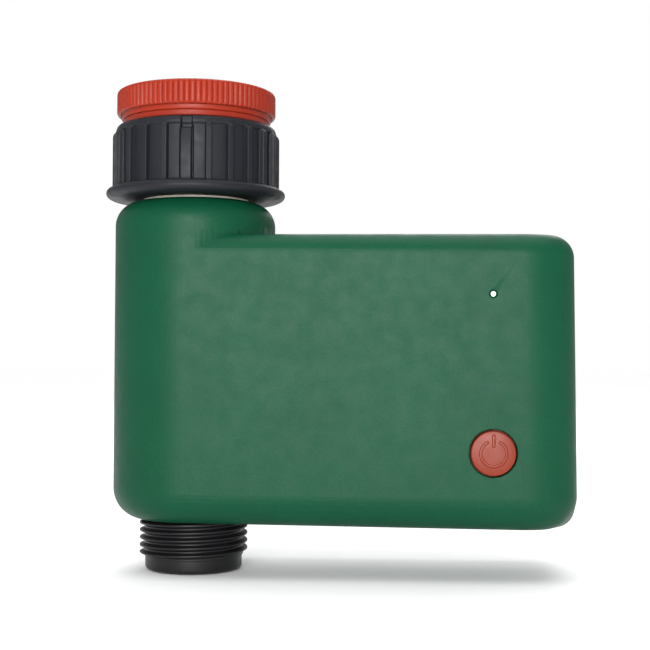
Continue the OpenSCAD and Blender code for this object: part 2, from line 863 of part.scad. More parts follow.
module gear_motor() {
    x0 = bay_x0 + 0.02;
    color("silver")
    difference() {
        union() {
            block(x0, x0 + 9, pinion_y - 6, pinion_y + 6, pinion_z - 5, pinion_z + 5);
            intersection() {
                rod_x(6, x0 + 8.9, x0 + 24, pinion_y, pinion_z);
                block(x0, x0 + 30, pinion_y - 7, pinion_y + 7, pinion_z - 5, pinion_z + 5);
            }
            rod_x(2, x0 + 23.9, x0 + 24.8, pinion_y, pinion_z, $fn = 32);
        }
        rod_x(1.56, x0 - 1, x0 + 3, pinion_y, pinion_z, $fn = 32);
        for (s = [-1, 1])
            rod_x(0.75, x0 - 1, x0 + 3, pinion_y + s * 4.5, pinion_z, $fn = 24);
    }
}

module motor_screws() {
    color("silver")
    for (s = [-1, 1])
        difference() {
            union() {
                rod_x(0.7, bulk_x + 0.8, bay_x0 + 2, pinion_y + s * 4.5, pinion_z, $fn = 24);
                rod_x(1.4, bulk_x + 0.1, bulk_x + 0.9, pinion_y + s * 4.5, pinion_z, $fn = 24);
            }
            block(bulk_x, bulk_x + 0.5, pinion_y + s * 4.5 - 1, pinion_y + s * 4.5 + 1,
                pinion_z - 0.2, pinion_z + 0.2);
        }
}

motor_lead_a = [
    [bay_x0 + 24.1, pinion_y - 3.5, pinion_z], [bay_x0 + 25.6, pinion_y - 3.5, pinion_z],
    [55.4, -13, -90], [55.6, -13, -82], [57, -11.4, -77], [59.3, -11.2, -77]
];
motor_lead_b = [
    [bay_x0 + 24.1, pinion_y + 3.5, pinion_z], [bay_x0 + 25.4, pinion_y + 3.5, pinion_z],
    [54, -5.6, -88], [53.6, -11, -80], [56, -11.4, -74.5], [59.3, -11.2, -74.5]
];
battery_lead_a = [
    [cell_x, -1.9, -bay_z0 - 0.6], [cell_x + 2, -3.5, -44], [48, -5, -44.5], [53.6, -9, -50],
    [54, -11.4, -58], [56, -11.2, -60], [59.3, -11.2, -60]
];
battery_lead_b = [
    [cell_x + 3 * cell_pitch, -1.9, -bay_z0 - 0.6], [cell_x + 3 * cell_pitch, -4, -43.5],
    [84, -5.4, -44.4], [88.2, -6.5, -50], [88.4, -10.4, -58], [86, -11.2, -60], [84, -11.2, -60]
];

module motor_leads() {
    color("red") {
        tube(soft_path(motor_lead_a, 4), 0.6);
        tube(soft_path(motor_lead_b, 4), 0.6);
    }
}

module battery_leads() {
    color("red") {
        tube(soft_path(battery_lead_a, 4), 0.6);
        tube(soft_path(battery_lead_b, 4), 0.6);
    }
}

// ---- electronics ----

module control_board() {
    color("darkgreen")
    difference() {
        block(55, 86.2, board_y0, board_y1, -98, -43);
        for (x = board_screw_x, z = board_screw_z)
            rod_y(1.2, board_y0 - 1, board_y1 + 1, x, z, $fn = 32);
        rod_y(3.4, board_y0 - 1, board_y1 + 1, bay_screw_x[2], bay_screw_z[2], $fn = 32);
    }
}

module board_parts() {
    color("darkgray") {
        block(59.3, 63, -13.4, board_y0 - 0.01, -79, -72.5);
        block(59.3, 63, -13.4, board_y0 - 0.01, -62.5, -57.5);
        block(80.3, 84, -13.4, board_y0 - 0.01, -62.5, -57.5);
        block(60, 67, board_y1 + 0.01, board_y1 + 1.2, -62, -55);
        block(66, 80, board_y1 + 0.01, board_y1 + 2.2, -95, -79);
        rod_y(2.5, board_y1 + 0.01, -2.2, 61.5, -84.5, $fn = 32);
        rod_y(2.5, board_y1 + 0.01, -2.2, 61.5, -77.5, $fn = 32);
        block(74, 82, board_y1 + 0.01, board_y1 + 1.5, -56, -50);
        block(64, 67, board_y0 - 1, board_y0 - 0.01, -88, -82);
        block(77, 79, board_y0 - 0.8, board_y0 - 0.01, -72, -68);
    }
}

module board_screws() {
    color("silver")
    for (x = board_screw_x, z = board_screw_z)
        pan_screw(0.8, 1.8, 1.1, -14, board_y1 + 0.02, x, z);
}

module tact_switch() {
    color("gray")
    difference() {
        block(panel_x - 3, panel_x + 3, board_y0 - 3.6, board_y0 - 0.01, -button_z - 3, -button_z + 3);
        rod_y(1.8, board_y0 - 5, board_y0 - 1.4, panel_x, -button_z, $fn = 32);
    }
}

module switch_plunger() {
    color("black")
    rod_y(1.7, board_y0 - 4.6, board_y0 - 2.3, panel_x, -button_z, $fn = 32);
}

module power_button() {
    tip = front_y - button_rise;
    color("tomato")
    union() {
        translate([panel_x, tip, -button_z])
        rotate([-90, 0, 0])
        rotate_extrude()
        polygon([
            [0, 0], [button_r - 1.2, 0.06], [button_r - 0.4, 0.3], [button_r, 0.8],
            [button_r, -tip + inner_y + 0.6], [button_r + 1.4, -tip + inner_y + 0.6],
            [button_r + 1.4, -tip + inner_y + 1.5], [2, -tip + inner_y + 1.5],
            [2, -tip + board_y0 - 4.63], [0, -tip + board_y0 - 4.63]
        ]);
    }
}

// ---- battery bay ----

module cell(i) {
    x = cell_x + i * cell_pitch;
    up = i % 2 == 0;
    translate([x, cell_y, up ? -94.75 : -46.95])
    scale([1, 1, up ? 1 : -1])
    rotate_extrude($fn = 64)
    polygon([
        [0, 0], [cell_r - 1, 0], [cell_r - 0.3, 0.1], [cell_r, 0.5], [cell_r, cell_l - 1.9],
        [cell_r - 0.4, cell_l - 1.4], [2.7, cell_l - 1.3], [2.6, cell_l - 0.2], [2.3, cell_l],
        [0, cell_l]
    ]);
}

module cell_1() {
    color("slategray")
    cell(0);
}

module cell_2() {
    color("slategray")
    cell(1);
}

module cell_3() {
    color("slategray")
    cell(2);
}

module cell_4() {
    color("slategray")
    cell(3);
}

// One strip of contact metal at an end of the bay, from cell a to cell b
module end_strip(a, b, z) {
    block(cell_x + a * cell_pitch - 4.6, cell_x + b * cell_pitch + 4.6, bay_y + 0.05, 14.6, z, z + 0.35);
}

module contact_plates() {
    zt = -bay_z0 - 0.4;
    zb = -bay_z1 + 0.05;
    color("lightgray") {
        for (i = [0, 3])
            union() {
                end_strip(i, i, zt);
                block(cell_x + i * cell_pitch - 1.6, cell_x + i * cell_pitch + 1.6, -1.3, bay_y + 1,
                    zt, zt + 0.35);
            }
        end_strip(1, 2, zt);
        end_strip(0, 1, zb);
        end_strip(2, 3, zb);
    }
}

module contact_springs() {
    color("silver")
    for (i = [0 : 3]) {
        x = cell_x + i * cell_pitch;
        up = i % 2 == 0;
        z0 = up ? -bay_z1 + 0.73 : -bay_z0 - 0.75;
        z1 = up ? -95.1 : -46.6;
        tube(coil_path(x, cell_y, z0, z1, 4, 2.4, 2.5, 30), 0.32, 6);
    }
}

module battery_door() {
    x0 = bulk_x + 0.2;
    x1 = bay_x1 + ledge - 0.2;
    z0 = -bay_z1 - ledge + 0.2;
    z1 = -bay_z0 + ledge - 0.2;
    color("seagreen")
    union() {
        intersection() {
            hull()
            housing_form(0);
            block(x0, x1, column_r - wall, 40, z0, z1);
        }
        difference() {
            block(bay_x0 + 0.25, bay_x1 - 0.25, 15.9, column_r - wall + 0.2, -bay_z1 + 0.6, -bay_z0 - 0.6);
            block(bay_x0 + 1.3, bay_x1 - 1.3, 10, column_r - wall - 0.02, -bay_z1 + 1.8, -bay_z0 - 1.8);
        }
    }
}

module door_seal() {
    color("black")
    difference() {
        block(bulk_x + 0.3, bay_x1 + ledge - 0.3, ledge_y + 0.02, column_r - wall - 0.02,
            -bay_z1 - ledge + 0.3, -bay_z0 + ledge - 0.3);
        block(bay_x0 + 0.15, bay_x1 - 0.15, 10, 30, -bay_z1 + 0.5, -bay_z0 - 0.5);
    }
}

front_cover();
rear_cover();
cover_screws();
light_pipe();
status_led();
valve_body();
outlet_spout();
body_o_rings();
flange_screws();
seat_upper();
seat_lower();
nut_retaining_ring();
inlet_filter();
inlet_washer();
gear_motor();
motor_screws();
idler_axle();
motor_leads();
control_board();
board_parts();
board_screws();
tact_switch();
cell_1();
cell_2();
cell_3();
cell_4();
contact_plates();
contact_springs();
battery_leads();
swivel_nut();
reducer_washer();
reducer_ring();
valve_ball();
valve_stem();
stem_o_rings();
output_gear();
stem_screw();
idler_gear();
motor_pinion();
motor_shaft();
power_button();
switch_plunger();
battery_door();
door_seal();
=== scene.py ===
import json
import math

import bmesh
import bpy
import numpy as np
from mathutils import Matrix, Vector


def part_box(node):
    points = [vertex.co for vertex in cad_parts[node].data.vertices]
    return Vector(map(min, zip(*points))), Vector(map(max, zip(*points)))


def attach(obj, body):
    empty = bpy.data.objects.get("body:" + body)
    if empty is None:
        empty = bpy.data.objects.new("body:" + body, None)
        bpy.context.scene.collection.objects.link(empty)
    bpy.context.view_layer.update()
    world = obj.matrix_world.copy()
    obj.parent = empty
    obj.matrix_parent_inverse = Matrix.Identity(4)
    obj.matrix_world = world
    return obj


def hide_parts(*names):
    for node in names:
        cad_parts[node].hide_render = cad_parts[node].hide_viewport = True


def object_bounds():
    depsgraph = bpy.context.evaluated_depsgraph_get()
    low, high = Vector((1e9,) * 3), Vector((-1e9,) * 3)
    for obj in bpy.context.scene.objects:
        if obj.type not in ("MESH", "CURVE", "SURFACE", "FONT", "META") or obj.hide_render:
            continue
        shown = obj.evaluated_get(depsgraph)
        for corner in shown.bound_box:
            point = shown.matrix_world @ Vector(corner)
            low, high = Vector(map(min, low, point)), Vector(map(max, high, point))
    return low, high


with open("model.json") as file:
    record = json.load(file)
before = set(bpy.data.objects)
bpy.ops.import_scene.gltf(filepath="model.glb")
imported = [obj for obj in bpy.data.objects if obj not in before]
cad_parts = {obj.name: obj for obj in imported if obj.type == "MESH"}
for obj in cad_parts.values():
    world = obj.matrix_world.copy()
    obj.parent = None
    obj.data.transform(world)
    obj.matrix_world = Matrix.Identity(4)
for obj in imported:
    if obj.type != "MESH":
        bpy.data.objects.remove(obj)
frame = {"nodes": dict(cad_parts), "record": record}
cad_low, cad_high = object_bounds()

MM = 0.001
TURN = 2 * math.pi
scene = bpy.context.scene
nodes = frame["nodes"]


def box_mm(node):
    """Lowest and highest corner of a CAD node, in millimetres."""
    low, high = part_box(node)
    return np.array(low) / MM, np.array(high) / MM


# ---- sizes of the frame, in millimetres ----

front_low, front_high = box_mm("front_cover")
ring_high = box_mm("reducer_ring")[1]
nut_high = box_mm("swivel_nut")[1]
spout_low = box_mm("outlet_spout")[0]
button_low, button_high = box_mm("power_button")
pipe_low, pipe_high = box_mm("light_pipe")
door_low, door_high = box_mm("battery_door")

COLUMN_R = -front_low[0]
COLUMN_TOP = front_high[2]
BOX_DROP = 0.8
BOX_HEIGHT = 69.3
BOX_BOTTOM = front_low[2]
COLUMN_BOTTOM = BOX_BOTTOM + BOX_DROP
BOX_TOP = BOX_BOTTOM + BOX_HEIGHT
BOX_REACH = front_high[0]
BOX_LEAN = 0.6
FRONT_Y = -COLUMN_R
WALL = 2.2
SPLIT = 0.012
SKIN = 0.8


# ---- mesh helpers ----

def new_object(name, mesh):
    obj = bpy.data.objects.new(name, mesh)
    scene.collection.objects.link(obj)
    return obj


def tidy_mesh(mesh, merge=1e-5):
    """Merges doubled points and turns every face outwards."""
    bm = bmesh.new()
    bm.from_mesh(mesh)
    bmesh.ops.remove_doubles(bm, verts=bm.verts, dist=merge)
    bmesh.ops.recalc_face_normals(bm, faces=bm.faces)
    bm.to_mesh(mesh)
    bm.free()
    mesh.update()


def solid(name, points, faces):
    """A new object from points in millimetres; it stays in millimetres until finished."""
    mesh = bpy.data.meshes.new(name)
    mesh.from_pydata(np.asarray(points, float).tolist(), [], [list(f) for f in faces])
    tidy_mesh(mesh)
    return new_object(name, mesh)


def block(low, high, name="block"):
    """Box between two corners."""
    x0, y0, z0 = low
    x1, y1, z1 = high
    points = [(x, y, z) for x in (x0, x1) for y in (y0, y1) for z in (z0, z1)]
    faces = [(0, 1, 3, 2), (4, 6, 7, 5), (0, 4, 5, 1), (2, 3, 7, 6), (0, 2, 6, 4), (1, 5, 7, 3)]
    return solid(name, points, faces)


def grid_faces(rows, columns, closed_rows):
    """Quads of a grid that wraps round in its columns, and in its rows if they are closed."""
    last = rows if closed_rows else rows - 1
    i, j = np.meshgrid(np.arange(last), np.arange(columns), indexing="ij")
    down, right = (i + 1) % rows, (j + 1) % columns
    quads = [i * columns + j, i * columns + right, down * columns + right, down * columns + j]
    return np.stack(quads, -1).reshape(-1, 4).tolist()


def angles(count):
    """Even steps round a full turn."""
    return np.arange(count) * TURN / count


def spun_points(profile, theta, shape=None):
    """Grid of points of a profile of (r, z) turned about Z. shape may change r by angle."""
    profile = np.asarray(profile, float)
    r = np.repeat(profile[:, :1], len(theta), 1)
    z = np.repeat(profile[:, 1:2], len(theta), 1)
    turn = np.repeat(np.asarray(theta)[None, :], len(profile), 0)
    if shape:
        r = shape(turn, r, z)
    return np.stack([r * np.cos(turn), r * np.sin(turn), z], -1)


def spun(name, profile, theta, shape=None):
    """Closed ring turned about Z from a closed profile."""
    points = spun_points(profile, theta, shape)
    return solid(name, points.reshape(-1, 3), grid_faces(len(profile), len(theta), True))


def turned_y(name, profile, x, z, count=96, shape=None):
    """Solid turned about an axis along Y, its profile of (r, y) going from axis to axis."""
    theta = angles(count)
    points = spun_points(profile, theta, shape).reshape(-1, 3)
    placed = np.stack([x + points[:, 0], points[:, 2], z + points[:, 1]], -1)
    return solid(name, placed, grid_faces(len(profile), count, False))


def turned_z(name, profile, count=192):
    """Solid turned about Z, its profile of (r, z) going from axis to axis."""
    points = spun_points(profile, angles(count)).reshape(-1, 3)
    return solid(name, points, grid_faces(len(profile), count, False))


def filleted(corners, steps=5):
    """Closed profile with each corner (r, z, radius) rounded."""
    out = []
    count = len(corners)
    for i, (r, z, radius) in enumerate(corners):
        p = np.array((r, z), float)
        if radius <= 0:
            out.append(p)
            continue
        to_last = np.array(corners[i - 1][:2], float) - p
        to_next = np.array(corners[(i + 1) % count][:2], float) - p
        len_last, len_next = np.linalg.norm(to_last), np.linalg.norm(to_next)
        u, v = to_last / len_last, to_next / len_next
        half = 0.5 * math.acos(float(np.clip(u @ v, -1, 1)))
        reach = min(radius / math.tan(half), 0.48 * len_last, 0.48 * len_next)
        centre = p + (u + v) / np.linalg.norm(u + v) * reach / math.cos(half)
        radius = reach * math.tan(half)
        a0 = math.atan2(*(p + u * reach - centre)[::-1])
        a1 = math.atan2(*(p + v * reach - centre)[::-1])
        swing = (a1 - a0 + math.pi) % TURN - math.pi
        for k in range(steps + 1):
            a = a0 + swing * k / steps
            out.append(centre + radius * np.array((math.cos(a), math.sin(a))))
    return out


def smooth_step(x, low=0.0, high=1.0):
    t = np.clip((x - low) / (high - low), 0, 1)
    return t * t * (3 - 2 * t)


def combine(obj, other, operation, keep=False):
    """Boolean of two closed solids; other is used up unless kept."""
    mod = obj.modifiers.new("combine", "BOOLEAN")
    mod.operation, mod.object, mod.solver = operation, other, "MANIFOLD"
    bpy.context.view_layer.update()
    graph = bpy.context.evaluated_depsgraph_get()
    made = bpy.data.meshes.new_from_object(obj.evaluated_get(graph))
    obj.modifiers.clear()
    old, obj.data = obj.data, made
    bpy.data.meshes.remove(old)
    if not keep:
        remove(other)
    return obj


def remove(obj):
    mesh = obj.data
    bpy.data.objects.remove(obj)
    bpy.data.meshes.remove(mesh)


def copy_of(obj, name):
    return new_object(name, obj.data.copy())


def cad_solid(node, name):
    """A welded copy of a CAD node's mesh, in millimetres."""
    mesh = nodes[node].data.copy()
    mesh.transform(Matrix.Scale(1 / MM, 4))
    mesh.materials.clear()
    tidy_mesh(mesh, 1e-4)
    return new_object(name, mesh)


def finish_piece(obj, body, material, replaces, sharp=35, weighted=False):
    """Brings a piece to metres, shades it and ties it to the frame."""
    obj.data.transform(Matrix.Scale(MM, 4))
    obj.data.materials.clear()
    obj.data.materials.append(material)
    shade(obj, sharp, weighted)
    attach(obj, body)
    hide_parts(replaces)
    return obj


def shade(obj, sharp, weighted=False):
    obj.data.shade_smooth()
    obj.data.set_sharp_from_angle(angle=math.radians(sharp))
    if weighted:
        mod = obj.modifiers.new("weighted", "WEIGHTED_NORMAL")
        mod.keep_sharp = True
        mod.weight = 80


# ---- materials ----

def make_material(name, colour, rough, metal=0.0, grain=0.45, grain_depth=0.012, mottle=0.08,
                  rough_swing=0.08, speck=0.06, specular=0.5, streak=None, **sockets):
    """Node material: grain (mm) and its depth (mm) as bump, mottled colour, uneven gloss."""
    mat = bpy.data.materials.new(name)
    mat.use_nodes = True
    tree = mat.node_tree
    tree.nodes.clear()
    link = tree.links.new

    def add(kind, **values):
        node = tree.nodes.new(kind)
        for key, value in values.items():
            setattr(node, key, value)
        return node

    out = add("ShaderNodeOutputMaterial")
    shader = add("ShaderNodeBsdfPrincipled")
    link(shader.outputs["BSDF"], out.inputs["Surface"])
    place = add("ShaderNodeTexCoord").outputs["Object"]
    if streak:
        stretch = add("ShaderNodeMapping")
        stretch.inputs["Scale"].default_value = streak
        link(place, stretch.inputs["Vector"])
        place = stretch.outputs["Vector"]

    def noise(size_mm, detail, rough_noise=0.5):
        node = add("ShaderNodeTexNoise")
        node.inputs["Scale"].default_value = 1 / (size_mm * MM)
        node.inputs["Detail"].default_value = detail
        node.inputs["Roughness"].default_value = rough_noise
        link(place, node.inputs["Vector"])
        return node.outputs["Fac"]

    fine = noise(grain, 3, 0.6)
    broad = noise(grain * 40, 2)
    middle = noise(grain * 7, 3)

    def ramp(source, low, high, a=0.3, b=0.7):
        node = add("ShaderNodeValToRGB")
        node.color_ramp.elements[0].position = a
        node.color_ramp.elements[1].position = b
        node.color_ramp.elements[0].color = (*low, 1)
        node.color_ramp.elements[1].color = (*high, 1)
        link(source, node.inputs["Fac"])
        return node.outputs["Color"]

    def tint(k):
        return tuple(min(1.0, c * k) for c in colour)

    base = ramp(broad, tint(1 - mottle), tint(1 + mottle))
    fleck = ramp(fine, (1 - speck,) * 3, (1 + speck,) * 3)
    mix = add("ShaderNodeMix", data_type="RGBA", blend_type="MULTIPLY")
    mix.inputs["Factor"].default_value = 1.0
    link(base, mix.inputs["A"])
    link(fleck, mix.inputs["B"])
    link(mix.outputs["Result"], shader.inputs["Base Color"])

    gloss = add("ShaderNodeMapRange")
    gloss.inputs["From Min"].default_value = 0.3
    gloss.inputs["From Max"].default_value = 0.7
    gloss.inputs["To Min"].default_value = max(0.02, rough - rough_swing)
    gloss.inputs["To Max"].default_value = min(1.0, rough + rough_swing)
    link(middle, gloss.inputs["Value"])
    link(gloss.outputs["Result"], shader.inputs["Roughness"])

    bump = add("ShaderNodeBump")
    bump.inputs["Strength"].default_value = 1.0
    bump.inputs["Distance"].default_value = grain_depth * MM
    link(fine, bump.inputs["Height"])
    link(bump.outputs["Normal"], shader.inputs["Normal"])

    shader.inputs["Metallic"].default_value = metal
    shader.inputs["Specular IOR Level"].default_value = specular
    for key, value in sockets.items():
        shader.inputs[key.replace("_", " ")].default_value = value
    return mat


GREEN = make_material("housing_green", (0.0022, 0.050, 0.0225), 0.44, grain=0.5, grain_depth=0.022,
                      mottle=0.05, speck=0.10, rough_swing=0.05, specular=0.13)
NUT_GREY = make_material("nut_grey", (0.0095, 0.0102, 0.0135), 0.5, grain=0.35, grain_depth=0.02,
                         mottle=0.08, speck=0.12, specular=0.2)
ORANGE = make_material("ring_orange", (0.235, 0.016, 0.004), 0.42, grain=0.6, grain_depth=0.006,
                       mottle=0.07, speck=0.04, specular=0.2)
BUTTON_ORANGE = make_material("button_orange", (0.175, 0.020, 0.006), 0.36, grain=0.4,
                              grain_depth=0.006, mottle=0.05, speck=0.04, specular=0.25)
OUTLET_BLACK = make_material("outlet_black", (0.006, 0.006, 0.0068), 0.38, grain=0.5,
                             grain_depth=0.008, mottle=0.12, speck=0.08, specular=0.25)
RUBBER = make_material("black_rubber", (0.018, 0.018, 0.018), 0.7, grain=0.25, grain_depth=0.02)
PART_BLACK = make_material("part_black", (0.03, 0.03, 0.033), 0.5, grain=0.25, grain_depth=0.01)
SCREW = make_material("screw_steel", (0.55, 0.55, 0.54), 0.32, metal=1.0, grain=0.2,
                      grain_depth=0.004, mottle=0.1)
SPRING = make_material("spring_steel", (0.68, 0.67, 0.65), 0.25, metal=1.0, grain=0.3,
                       grain_depth=0.003, mottle=0.08)
LENS = make_material("clear_plastic", (0.72, 0.76, 0.70), 0.22, grain=0.3, grain_depth=0.003,
                     mottle=0.03, speck=0.02, Transmission_Weight=0.25, IOR=1.49)
IVORY = make_material("valve_plastic", (0.62, 0.58, 0.47), 0.42, grain=0.6, grain_depth=0.006)
SEAT = make_material("seat_white", (0.80, 0.79, 0.76), 0.5, grain=0.5, grain_depth=0.004)
FILTER = make_material("filter_white", (0.78, 0.78, 0.74), 0.45, grain=0.5, grain_depth=0.005)
MOTOR = make_material("motor_metal", (0.52, 0.52, 0.52), 0.34, metal=1.0, grain=0.4,
                      grain_depth=0.004, streak=(1, 6, 6))
LEAD = make_material("lead_wire", (0.50, 0.03, 0.025), 0.38, grain=0.4, grain_depth=0.004)
BOARD = make_material("board_green", (0.015, 0.13, 0.05), 0.32, grain=0.5, grain_depth=0.008,
                      mottle=0.15)
CELL = make_material("cell_wrap", (0.10, 0.11, 0.13), 0.28, grain=0.8, grain_depth=0.004,
                     metal=0.4, mottle=0.06)
CHROME = make_material("ball_chrome", (0.74, 0.74, 0.73), 0.12, metal=1.0, grain=0.5,
                       grain_depth=0.001, mottle=0.03, rough_swing=0.04)
BRASS = make_material("stem_brass", (0.66, 0.47, 0.18), 0.28, metal=1.0, grain=0.4,
                      grain_depth=0.003)
GEAR = make_material("gear_white", (0.80, 0.78, 0.70), 0.40, grain=0.4, grain_depth=0.004)

SLOT_MATERIALS = {
    "housing_green": GREEN, "screw_steel": SCREW, "clear_plastic": LENS, "valve_plastic": IVORY,
    "outlet_black": OUTLET_BLACK, "black_rubber": RUBBER, "seat_white": SEAT,
    "spring_steel": SPRING, "filter_white": FILTER, "motor_metal": MOTOR, "lead_wire": LEAD,
    "board_green": BOARD, "part_black": PART_BLACK, "cell_wrap": CELL, "nut_grey": NUT_GREY,
    "ring_orange": ORANGE, "button_orange": BUTTON_ORANGE, "ball_chrome": CHROME,
    "stem_brass": BRASS, "gear_white": GEAR,
}

for part in frame["record"]["subparts"]:
    mesh = nodes[part["node"]].data
    mesh.materials.clear()
    mesh.materials.append(SLOT_MATERIALS[part["material_slot"]])


# ---- camera, light and floor ----

CAMERA_AT = (0.0488, -0.310, -0.0659)
YAW, PITCH, ROLL = math.radians(3.06), math.radians(1.58), math.radians(0.25)

camera_data = bpy.data.cameras.new("camera")
camera_data.sensor_width = 36
camera_data.lens = 69.7
camera_data.clip_start = 0.01
camera = bpy.data.objects.new("camera", camera_data)
scene.collection.objects.link(camera)
ahead = Vector((-math.sin(YAW) * math.cos(PITCH), math.cos(YAW) * math.cos(PITCH), math.sin(PITCH)))
level = Vector((math.cos(YAW), math.sin(YAW), 0))
upward = Vector((math.sin(YAW) * math.sin(PITCH), -math.cos(YAW) * math.sin(PITCH), math.cos(PITCH)))
right = level * math.cos(ROLL) + upward * math.sin(ROLL)
up = upward * math.cos(ROLL) - level * math.sin(ROLL)
camera.matrix_world = Matrix((
    (right.x, up.x, -ahead.x, CAMERA_AT[0]),
    (right.y, up.y, -ahead.y, CAMERA_AT[1]),
    (right.z, up.z, -ahead.z, CAMERA_AT[2]),
    (0, 0, 0, 1),
))
scene.camera = camera

scene.view_settings.view_transform = "Standard"

world = bpy.data.worlds.new("studio")
scene.world = world
world.use_nodes = True
tree = world.node_tree
tree.nodes.clear()
world_out = tree.nodes.new("ShaderNodeOutputWorld")
seen = tree.nodes.new("ShaderNodeLightPath")
lit, shown = tree.nodes.new("ShaderNodeBackground"), tree.nodes.new("ShaderNodeBackground")
lit.inputs["Strength"].default_value = 0.5
shown.inputs["Strength"].default_value = 1.0
for background in (lit, shown):
    background.inputs["Color"].default_value = (1, 1, 1, 1)
choose = tree.nodes.new("ShaderNodeMixShader")
tree.links.new(seen.outputs["Is Camera Ray"], choose.inputs["Fac"])
tree.links.new(lit.outputs[0], choose.inputs[1])
tree.links.new(shown.outputs[0], choose.inputs[2])
tree.links.new(choose.outputs[0], world_out.inputs["Surface"])


def soft_light(name, at, size, power):
    """Square area light aimed at the middle of the object."""
    data = bpy.data.lights.new(name, "AREA")
    data.shape, data.size, data.energy = "SQUARE", size, power
    lamp = bpy.data.objects.new(name, data)
    scene.collection.objects.link(lamp)
    lamp.location = at
    middle = (cad_low + cad_high) / 2
    lamp.rotation_euler = (middle - Vector(at)).to_track_quat("-Z", "Y").to_euler()
    return lamp


soft_light("key", (0.0, -0.8, 0.03), 0.5, 10.5)
soft_light("back", (0.1, 0.7, 0.5), 0.6, 3.0)
overhead = bpy.data.objects.new("overhead", bpy.data.lights.new("overhead", "SUN"))
overhead.data.energy = 1.9
overhead.data.angle = math.radians(60)
scene.collection.objects.link(overhead)

FLOOR_GAP = 0.0002
bpy.ops.mesh.primitive_grid_add(x_subdivisions=8, y_subdivisions=8, size=12,
                                location=(0, 0, cad_low.z - FLOOR_GAP))
floor = bpy.context.object
floor.name = "floor"
floor.data.materials.append(make_material("floor_pale", (0.93, 0.93, 0.93), 0.8, grain=4,
                                          grain_depth=0.02, mottle=0.01, speck=0.01))


# ---- housing: covers and battery door ----

AZIMUTHS = angles(192)
ELEVATIONS = np.radians(np.linspace(-90, 90, 49))
az, el = (g.ravel() for g in np.meshgrid(AZIMUTHS, ELEVATIONS))
AROUND = np.stack([np.cos(az), np.sin(az), np.zeros_like(az)], -1)
DIRECTIONS = AROUND * np.cos(el)[:, None] + np.array((0, 0, 1)) * np.sin(el)[:, None]


def rounded_ring(radius, minor, z):
    """Touching points of a ring with a round section, for every direction."""
    return AROUND * radius + np.array((0, 0, z)) + DIRECTIONS * minor


def oval_end(x, y, end, side, rx, ry, edge, inset):
    """Touching points of an upright oval post whose end is rounded with its own radius."""
    r = min(edge, ry - 0.2)
    oval = np.array((rx - r, ry - r))
    reach = AROUND[:, :2] * oval
    rim = np.zeros_like(AROUND)
    rim[:, :2] = reach * oval / np.linalg.norm(reach, axis=1)[:, None]
    return np.array((x, y, end - side * r)) + rim + DIRECTIONS * (r - inset)


def wrap(parts, name):
    """Convex hull of the points where planes from every direction first touch the parts."""
    heights = np.stack([(p * DIRECTIONS).sum(1) for p in parts])
    best = heights.max(0)
    kept = np.concatenate([p[h > best - 1e-6] for p, h in zip(parts, heights)])
    kept = np.unique(np.round(kept, 5), axis=0)
    bm = bmesh.new()
    for p in kept:
        bm.verts.new(p)
    hull = bmesh.ops.convex_hull(bm, input=bm.verts, use_existing_faces=False)
    loose = {v for v in hull["geom_interior"] + hull["geom_unused"] if isinstance(v, bmesh.types.BMVert)}
    bmesh.ops.delete(bm, geom=list(loose), context="VERTS")
    bmesh.ops.recalc_face_normals(bm, faces=bm.faces)
    mesh = bpy.data.meshes.new(name)
    bm.to_mesh(mesh)
    bm.free()
    return new_object(name, mesh)


TOP_R, BOTTOM_R, BOX_EDGE_R = 6.0, 7.5, 5.0
CORNER_X, CORNER_TOP, CORNER_BOTTOM = 6.0, 5.5, 8.0
FRONT_CORNER_X, FRONT_CORNER_Y = 13.0, 10.0
REAR_CORNER_Y = 4.0
MIDDLE_CORNER_Y = 5.0
MIDDLE_CORNER_AT = -REAR_CORNER_Y - 2
TUCK = 0.012


def box_corners(x, end, side, edge, inset):
    """The three posts that carry the right end of the box at its top or bottom."""
    return [
        oval_end(x - FRONT_CORNER_X, FRONT_Y + FRONT_CORNER_Y, end, side,
                 FRONT_CORNER_X, FRONT_CORNER_Y, edge, inset),
        oval_end(x - CORNER_X, MIDDLE_CORNER_AT, end, side, CORNER_X, MIDDLE_CORNER_Y, edge, inset),
        oval_end(x - CORNER_X, COLUMN_R - REAR_CORNER_Y, end, side,
                 CORNER_X, REAR_CORNER_Y, edge, inset),
    ]


def housing(inset, name="housing"):
    """Outer form of the housing: the round column joined to the rounded box."""
    bottom = COLUMN_BOTTOM + BOTTOM_R
    column = wrap([
        rounded_ring(COLUMN_R - TOP_R, TOP_R - inset, COLUMN_TOP - TOP_R),
        rounded_ring(COLUMN_R - BOTTOM_R, BOTTOM_R - inset, bottom),
    ], name)
    parts = [
        rounded_ring(COLUMN_R - BOX_EDGE_R - TUCK, BOX_EDGE_R - inset, BOX_TOP - BOX_EDGE_R),
        rounded_ring(COLUMN_R - BOTTOM_R - TUCK, BOTTOM_R - inset - TUCK, bottom),
    ]
    parts += box_corners(BOX_REACH - BOX_LEAN, BOX_TOP, 1, CORNER_TOP, inset)
    parts += box_corners(BOX_REACH, BOX_BOTTOM, -1, CORNER_BOTTOM, inset)
    return combine(column, wrap(parts, "box"), "UNION")


def hole_y(x, z, radius, y0, y1, lip):
    """Cutter for a round hole in the front whose edge is broken by lip."""
    return turned_y("hole", [
        (0, y0), (radius + lip + 1, y0), (radius + lip, FRONT_Y - 0.01),
        (radius + 0.3 * lip, FRONT_Y + 0.35 * lip), (radius, FRONT_Y + lip), (radius, y1), (0, y1),
    ], x, z)


